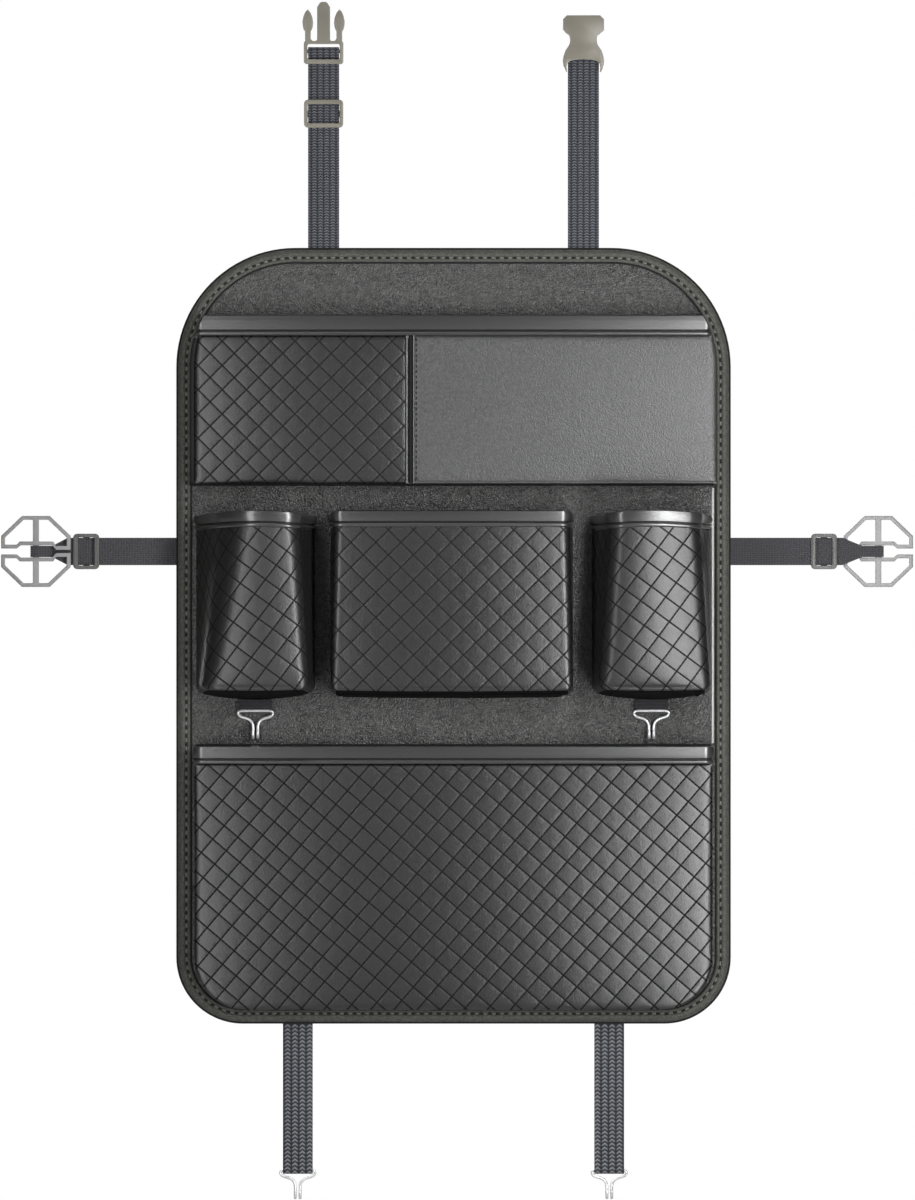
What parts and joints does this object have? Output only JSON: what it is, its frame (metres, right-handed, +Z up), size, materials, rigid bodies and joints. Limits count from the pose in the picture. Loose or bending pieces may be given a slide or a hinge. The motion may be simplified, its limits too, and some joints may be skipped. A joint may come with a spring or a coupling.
{
  "type": "car seat back organizer",
  "caption": "Padded panel with quilted pockets, bottle cups and bag hooks that straps and clips tie to the back of a car seat.",
  "frame": {"origin": "middle of the panel's flat back face", "axes": "+Z up, +X to the right seen from the front, +Y out of the flat back; the pockets face -Y"},
  "size_m": [0.6923, 0.0738, 0.9087],
  "materials": {
    "quilted_leather": "soft satin, quilted in diamonds",
    "grained_leather": "soft satin, fine pebble grain",
    "trim_leather": "smooth satin",
    "panel_leather": "matt pebble grain",
    "binding_tape": "matt woven tape",
    "lining_cloth": "matt woven",
    "webbing": "matt braided webbing",
    "elastic_webbing": "matt ribbed elastic",
    "khaki_plastic": "satin moulded",
    "dark_plastic": "satin moulded",
    "grey_plastic": "satin moulded",
    "bright_wire": "polished wire"
  },
  "bodies": {
    "organizer": {"base_panel": "panel_leather", "back_lining": "lining_cloth", "edge_binding": "binding_tape", "top_pocket_gusset": "grained_leather", "top_pocket_rim": "trim_leather", "top_pocket_face_left": "quilted_leather", "top_pocket_face_right": "grained_leather", "top_pocket_divider": "grained_leather", "bottom_pocket_gusset": "grained_leather", "bottom_pocket_rim": "trim_leather", "bottom_pocket_face": "quilted_leather", "left_cup_gusset": "grained_leather", "left_cup_face": "quilted_leather", "left_cup_rim": "trim_leather", "right_cup_gusset": "grained_leather", "right_cup_face": "quilted_leather", "right_cup_rim": "trim_leather", "centre_pocket_gusset": "grained_leather", "centre_pocket_face": "quilted_leather", "centre_pocket_rim": "trim_leather", "hook_tab_left": "webbing", "bottom_strap_left": "webbing", "top_strap_left": "webbing", "side_strap_left": "elastic_webbing", "side_clip_left": "grey_plastic", "hook_tab_right": "webbing", "bottom_strap_right": "webbing", "top_strap_right": "webbing", "side_strap_right": "elastic_webbing", "side_clip_right": "grey_plastic"},
    "front_hook_left": {"front_hook_left": "bright_wire"},
    "front_hook_right": {"front_hook_right": "bright_wire"},
    "bottom_hook_left": {"bottom_hook_left": "bright_wire"},
    "bottom_hook_right": {"bottom_hook_right": "bright_wire"},
    "strap_slider": {"strap_slider": "khaki_plastic"},
    "side_slider_left": {"side_slider_left": "dark_plastic"},
    "side_slider_right": {"side_slider_right": "dark_plastic"},
    "male_buckle": {"male_buckle": "khaki_plastic"},
    "female_buckle": {"female_buckle": "khaki_plastic"}
  },
  "joints": [
    {"name": "front_hook_left_swing", "type": "hinge", "parent": "organizer", "child": "front_hook_left", "pos_m": [-0.1502, -0.00765, -0.0568], "axis": [1, 0, 0], "range_deg": [-90, 0]},
    {"name": "front_hook_right_swing", "type": "hinge", "parent": "organizer", "child": "front_hook_right", "pos_m": [0.1502, -0.00765, -0.0568], "axis": [1, 0, 0], "range_deg": [-90, 0]},
    {"name": "bottom_hook_left_swing", "type": "hinge", "parent": "organizer", "child": "bottom_hook_left", "pos_m": [-0.1182, -0.00485, -0.4056], "axis": [1, 0, 0], "range_deg": [-150, 90]},
    {"name": "bottom_hook_right_swing", "type": "hinge", "parent": "organizer", "child": "bottom_hook_right", "pos_m": [0.1182, -0.00485, -0.4056], "axis": [1, 0, 0], "range_deg": [-150, 90]},
    {"name": "male_buckle_swing", "type": "hinge", "parent": "organizer", "child": "male_buckle", "pos_m": [-0.0986, -0.00525, 0.4436], "axis": [1, 0, 0], "range_deg": [-60, 0]},
    {"name": "female_buckle_swing", "type": "hinge", "parent": "organizer", "child": "female_buckle", "pos_m": [0.0986, -0.00525, 0.4436], "axis": [1, 0, 0], "range_deg": [-60, 0]},
    {"name": "strap_slider_slide", "type": "slide", "parent": "organizer", "child": "strap_slider", "axis": [0, 0, 1], "range_m": [-0.08, 0.02]},
    {"name": "side_slider_left_slide", "type": "slide", "parent": "organizer", "child": "side_slider_left", "axis": [1, 0, 0], "range_m": [0, 0.045]},
    {"name": "side_slider_right_slide", "type": "slide", "parent": "organizer", "child": "side_slider_right", "axis": [-1, 0, 0], "range_m": [0, 0.045]}
  ]
}
